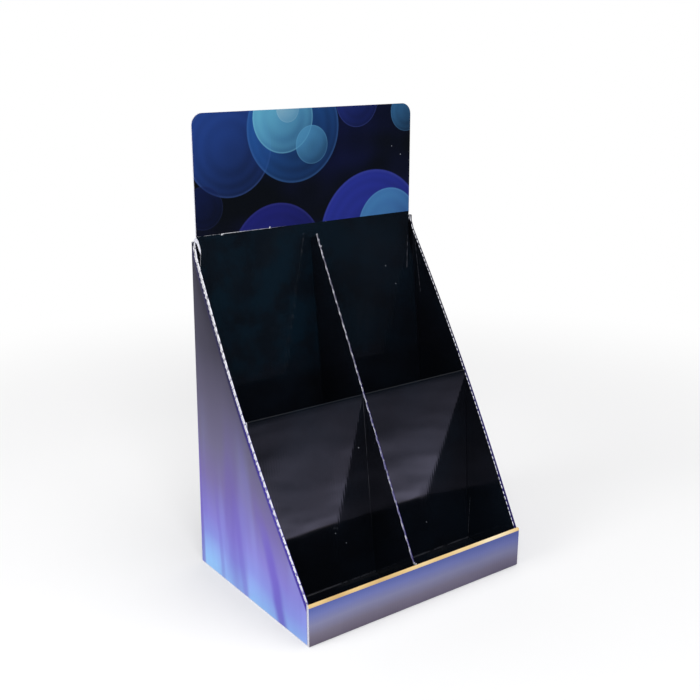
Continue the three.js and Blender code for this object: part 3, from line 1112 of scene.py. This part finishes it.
def buildLinerEdge(name, side, material, bumpHeight):
    points = wallEdgePoints(side, thickness * 1.5 + plyGap)[:-1]
    points = [p + Vector((0, linerValues["setBack"], -linerValues["drop"])) for p in points]
    return joinObjects(name, [wallEdge(name, points, side, material, bumpHeight)])


leftLinerBoard = buildLiner("leftLinerBoard", -1, leftCut)
rightLinerBoard = buildLiner("rightLinerBoard", 1, rightCut)
leftLinerEdge = buildLinerEdge("leftLinerCutEdge", -1, leftCut, linerValues["leftBumps"])
rightLinerEdge = buildLinerEdge("rightLinerCutEdge", 1, rightCut, 0.0)
print("liners ready")

# Stepped insert, from the header's top down to the lower floor

def insertFaceLine():
    gap, fold = plyGap, insertValues["foldRadius"]
    pocketZ = riserTop - insertValues["pocketWall"] + thickness / 2
    floorFront = riserY(pocketZ) + 2 * thickness + gap
    floorBackZ = pocketZ - insertValues["recline"] * (upperPanelY(pocketZ) - floorFront)
    upper = [(headerFaceY, insertValues["top"]), (headerFaceY, headerFold),
             (upperPanelY(floorBackZ), floorBackZ), (floorFront, pocketZ)]
    rollRadius = lipThickness / 2
    rollZ = riserTop - rollRadius
    roll = arc(Vector((riserY(rollZ) + rollRadius, rollZ)), rollRadius, 0.0, math.pi)
    floorTop = insertValues["floorZ"] + thickness
    lower = [(insertValues["riserFoot"], floorTop), (wallFront + gap, floorTop)]
    upper, lower = ([Vector(corner) for corner in corners] for corners in (upper, lower))
    line = roundFolds(upper + [roll[0]], fold)[:-1] + roll + roundFolds([roll[-1]] + lower, fold)[1:]
    return subdivided(line, insertValues["longest"])


def insertHalfWidth(y, z):
    below = headerFold - z
    if below <= 0:
        radius = insertValues["cornerRadius"]
        over = max(0.0, z - (insertValues["top"] - radius))
        return insertValues["headerHalf"] - radius + math.sqrt(max(0.0, radius ** 2 - over ** 2))
    wallHalf = halfWidth - 2 * thickness - plyGap - insertValues["sideGap"]
    wallHalf += wallBulge(y, z) + splayAt(halfWidth, z)
    if y < riserY(riserTop) + lipThickness:
        return wallHalf
    shoulder = insertValues["shoulderHeight"]
    stepped = insertValues["headerHalf"] - insertValues["shoulderDepth"] * min(1.0, below / shoulder)
    return mixed(stepped, wallHalf, clamp01((below - shoulder) / insertValues["shoulderFade"]))


def buildInsert():
    builder = BoardBuilder()
    radius, top = insertValues["cornerRadius"], insertValues["top"]
    angles = spread(math.pi / 2, 0.0, insertValues["cornerRows"])
    line = [Vector((headerFaceY, top - radius + radius * math.sin(a))) for a in angles]
    line += [p for p in insertFaceLine() if p.y < top - radius - 0.5 * mm]
    shares = spread(-1.0, 1.0, insertValues["columns"])
    builder.addGrid([[at(share * insertHalfWidth(p.x, p.y), p) for p in line] for share in shares], side=-1)
    board = builder.finish("insertBoard", [panelPrint, plainPaper, rawBoard, headerPrint, rollPrint])
    rollLow = riserTop - lipThickness / 2
    rollBack = riserY(riserTop) + 2 * lipThickness
    reslot(board, 0, 3, lambda centre: centre.z > headerFold)
    reslot(board, 0, 4, lambda centre: centre.z > rollLow and centre.y < rollBack)
    return board


insertBoard = buildInsert()
print("insert ready")

# Centre divider

def dividerOutline():
    gap, clear = plyGap, dividerValues["clear"]
    top, nose = dividerValues["top"], dividerValues["noseHeight"]
    floorTop = insertValues["floorZ"] + thickness + gap
    front = wallFront + gap
    slotLow = riserTop - insertValues["pocketWall"] + thickness + gap
    pocketFront = riserY(slotLow) + 2 * thickness + gap + clear
    pocketBack = upperPanelY(slotLow) - gap
    pocketBackZ = slotLow - insertValues["recline"] * (pocketBack - pocketFront)
    topY = upperPanelY(top) - dividerValues["topDepth"]
    footY = front + dividerValues["noseDepth"]
    backZ = top - (topY - footY) / (top - nose) * dividerValues["topDepth"]
    corners = [
        (front, floorTop), (riserY(floorTop) - clear, floorTop),
        (riserY(floorTop + clear) - gap, floorTop + clear),
        (riserY(slotLow) - gap, slotLow), (pocketFront, slotLow),
        (upperPanelY(pocketBackZ) - gap - clear, pocketBackZ + clear), (upperPanelY(backZ) - gap, backZ),
        (topY + edgeDepth, top - edgeDepth), (footY + edgeDepth, nose - edgeDepth), (front, nose - edgeDepth),
    ]
    return [Vector(corner) for corner in corners]


def buildDivider():
    near, far = ([at(x, p) for p in dividerOutline()] for x in (-thickness / 2, thickness / 2))
    # the divider's rim is painted shade, dark like the flute tunnels
    return prism("dividerBoard", near, far, [blackBoard, tunnelPaintedShade])


def buildDividerEdge():
    slantTop, slantFoot, noseFront = dividerOutline()[7:]
    inwardY, inwardZ = dividerValues["slantInward"]
    slantFoot = slantFoot - Vector((inwardY, inwardZ)) * edgeDepth
    slant = [slantTop + Vector((-edgeDepth, edgeDepth)), slantFoot]
    slope = (slant[0].x - slant[1].x) / (slant[0].y - slant[1].y)
    waver, slant = dividerValues["waver"], subdivided(slant, dividerValues["longest"])
    line = [at(waver * math.sin(k * 2.9) * math.sin(k * 0.7), p) for k, p in enumerate(slant)]
    down = (0, inwardY, inwardZ)
    slantEdge = flutedEdge("dividerSlant", line, (1, 0, 0), down, pitchAlong(slope), dividerCut)
    nose = [at(0, slantFoot), at(0, noseFront + Vector((0, edgeDepth)))]
    noseEdge = flutedEdge("dividerNose", nose, (1, 0, 0), (0, 0, -1), boardValues["flutePitch"], rawBoard)
    return joinObjects("dividerCutEdges", [slantEdge, noseEdge])


dividerBoard = buildDivider()
dividerEdges = buildDividerEdge()
print("divider ready")

# Torn paper: small ragged flakes where the board is bruised

tornValues = {
    "thickness": 0.22 * mm,
    "points": 18,
    "ragged": 0.28,
    "curl": 0.25 * mm,
    # outline across and up, in millimetres, of the strip peeled at the left wall's top
    "peeled": [(-152.6, 394.2), (-151.8, 396.9), (-149.1, 397.2), (-146.9, 394.4), (-146.0, 389.1),
               (-145.1, 383.6), (-145.3, 378.8), (-147.0, 382.4), (-147.9, 387.2), (-149.2, 391.2),
               (-151.0, 393.0)],
    "peeledLift": 1.0 * mm,
    # place, length and height in millimetres, turn about the upright, lean
    "lipCorner": [((-149.4, -114.6, 48.3), 1.5, 1.0, 20, 16), ((-149.2, -112.6, 48.2), 1.3, 0.9, -35, -12),
                  ((-149.0, -115.4, 45.6), 0.9, 1.4, 5, 10)],
    "divider": [((0.2, -103.6, 45.2), 1.4, 0.9, 10, 40), ((0.4, -106.4, 44.9), 1.5, 0.9, 40, 50),
                ((-0.4, 82.4, 387.0), 1.7, 1.1, 15, 50), ((0.3, 78.6, 381.0), 1.2, 0.9, 60, 40),
                ((0.1, 74.6, 374.2), 0.8, 1.1, 80, 40)],
}


def wobble(k):
    return math.sin(12.9898 * k) * 0.5 + math.sin(7.233 * k + 1.3) * 0.5


def tornFlakes(name, flakes, values):
    vertices, faces = [], []
    count, ragged = values["points"], values["ragged"]
    for index, (place, length, height, turn, lean) in enumerate(flakes):
        start = len(vertices)
        turning = Matrix.Rotation(math.radians(turn), 4, "Z") @ Matrix.Rotation(math.radians(lean), 4, "X")
        for layer in (-0.5, 0.5):
            for k in range(count):
                angle = 2 * math.pi * k / count
                reach = (1 - ragged + ragged * wobble(k * 3.7 + index * 11.0)) * mm
                depth = layer * values["thickness"] + values["curl"] * math.cos(angle * 2 + index)
                offset = (math.cos(angle) * length * reach, depth, math.sin(angle) * height * reach)
                vertices.append(Vector(place) * mm + turning @ Vector(offset))
        middle = [len(vertices), len(vertices) + 1]
        vertices += [sum(vertices[low:low + count], Vector()) / count for low in (start, start + count)]
        for k in range(count):
            a, b = start + k, start + (k + 1) % count
            faces += [[a, b, middle[0]], [b + count, a + count, middle[1]], [b, a, a + count, b + count]]
    return newObject(name, vertices, faces, [0] * len(faces), [rawBoard])


def peeledStrip(name, values):
    layers = []
    for depth in (0.0, values["thickness"]):
        layer = []
        for k, (across, up) in enumerate(values["peeled"]):
            y = upperPanelY(up * mm) - values["peeledLift"] + 0.5 * wobble(k * 2.3) * mm + depth
            layer.append(Vector((across * mm, y, up * mm)))
        layers.append(layer)
    return prism(name, *layers, [rawBoard])


wallTopFlakes = peeledStrip("wallTopFlakes", tornValues)
lipFlakes = tornFlakes("lipFlakes", tornValues["lipCorner"], tornValues)
dividerFlakes = tornFlakes("dividerFlakes", tornValues["divider"], tornValues)
print("torn paper ready")

# Every piece is attached to the root body, each listed with the board that it stands for

for piece, slot in ((trayBoard, "printed_board"), (trayEdges, "printed_board"),
                    (leftLinerBoard, "black_board"), (rightLinerBoard, "black_board"),
                    (leftLinerEdge, "black_board"), (rightLinerEdge, "black_board"),
                    (insertBoard, "insert_board"), (dividerBoard, "black_board"),
                    (dividerEdges, "black_board"), (wallTopFlakes, "printed_board"),
                    (lipFlakes, "printed_board"), (dividerFlakes, "black_board")):
    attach(piece, "root")

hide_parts("outer_tray")
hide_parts("left_liner")
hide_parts("right_liner")
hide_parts("stepped_insert")
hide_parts("centre_divider")

# Studio: pale floor, soft lamps, white surroundings and a black card that only reflections see

studioValues = {
    "floorSize": 14.0,
    "floorColour": (0.93, 0.93, 0.935, 1.0),
    "floorShade": (0.8, 0.8, 0.8, 1.0),
    "fadeFrom": 0.55,
    "fadeTo": 1.3,
    # how bright the floor looks in reflections, by metres ahead of the box
    "reflectFade": [(0.3, 1.0), (0.52, 0.62), (0.74, 0.3), (1.08, 0.22), (1.25, 0.17), (1.5, 0.03)],
    "reflectReach": 2.0,
    "reflectWander": 0.35,
    "reflectTint": (1.0, 0.96, 1.36, 1.0),
    "worldLight": 0.55,
    "lamps": [
        # name, place, aim, size, watts
        ("frontSoftbox", (-1.3, -2.2, 1.9), (0.0, 0.0, 0.2), 1.6, 34.0),
        ("leftSoftbox", (-2.4, 0.2, 1.5), (0.0, 0.0, 0.2), 1.4, 18.0),
        ("topSoftbox", (0.3, -0.4, 2.8), (0.0, 0.0, 0.2), 1.8, 22.0),
    ],
    "cardColour": (0.004, 0.004, 0.005, 1),
    "cardLow": (-3.0, -1.75, 0.0),
    "cardHigh": (5.0, -1.75, 3.2),
}
white = (1, 1, 1, 1)


# the camera, reflections and clear things see the surroundings white; what lights the box stays dimmer
def seenRays(tree):
    camera, glossy, transmission = rays(tree, "Camera", "Glossy", "Transmission")
    return camera | glossy | transmission, glossy


def makeSheet(name, corners, material):
    return newObject(name, corners, [(0, 1, 2, 3)], [0], [material])


def makeFloor(values):
    size = values["floorSize"] / 2
    material, shader = newMaterial("studioFloor")
    place, x, y, z = objectPlace(material)
    faint = noise(place, 3.0, 2.0).mapped(0.3, 0.7, 0.0, 0.02)
    colour = mixColour(faint, values["floorColour"], values["floorShade"])
    fill(shader, {"Base Color": colour, "Roughness": 0.8, "Specular IOR Level": 0.0})
    seen, glossy = seenRays(material.node_tree)
    # painted reflection: glossy rays see the floor glow, dimmer further ahead of the box, in clouds and
    # tinted blue
    reach = values["reflectReach"]
    distance = ((noise(place, 5.0, 3.0, 0.55) - 0.5) * values["reflectWander"] - y) / reach
    fade = [(metres / reach, (share, share, share, 1.0)) for metres, share in values["reflectFade"]]
    dimmed = Value(distance.feed("ShaderNodeRGBToBW", {0: ramp(distance, fade)}).outputs[0])
    cloudy = noise(place, 9.0, 5.0, 0.62, 0.6).mapped(0.36, 0.64, 0.5, 1.35)
    dimmed = mixColour(1.0, dimmed * cloudy, values["reflectTint"], "MULTIPLY")
    glow = place.feed("ShaderNodeEmission", {"Color": mixColour(glossy, white, dimmed)})
    far = place.vector("LENGTH", output="Value").mapped(values["fadeFrom"], values["fadeTo"])
    inputs = {0: seen * far | glossy, 1: Value(shader.outputs[0]), 2: Value(glow.outputs[0])}
    mix = place.feed("ShaderNodeMixShader", inputs)
    fill(material.node_tree.nodes["Material Output"], {"Surface": Value(mix.outputs[0])})
    corners = [(-size, -size, 0), (size, -size, 0), (size, size, 0), (-size, size, 0)]
    floor = makeSheet("studioFloor", corners, material)


def makeWorld(values):
    world = bpy.data.worlds.new("studioWorld")
    bpy.context.scene.world = world
    world.use_nodes = True
    strength = seenRays(world.node_tree)[0].mapped(0.0, 1.0, values["worldLight"], 1.0, smooth=False)
    fill(world.node_tree.nodes["Background"], {"Color": white, "Strength": strength})


def makeLamps(values):
    for name, place, aim, size, watts in values["lamps"]:
        data = bpy.data.lights.new(name, "AREA")
        data.size = size
        data.energy = watts
        lamp = placed(name, data)
        lamp.location = place
        lamp.rotation_euler = (Vector(aim) - Vector(place)).to_track_quat("-Z", "Y").to_euler()


def makeCard(values):
    (x0, y0, z0), (x1, y1, z1) = values["cardLow"], values["cardHigh"]
    material, shader = newMaterial("blackCard")
    fill(shader, {"Base Color": values["cardColour"], "Roughness": 1.0})
    corners = [(x0, y0, z0), (x1, y0, z0), (x1, y1, z1), (x0, y1, z1)]
    card = makeSheet("blackCard", corners, material)
    card.visible_camera = False
    card.visible_diffuse = False
    card.visible_shadow = False


makeFloor(studioValues)
makeWorld(studioValues)
makeLamps(studioValues)
makeCard(studioValues)
bpy.context.scene.view_settings.view_transform = "Standard"
print("studio ready")
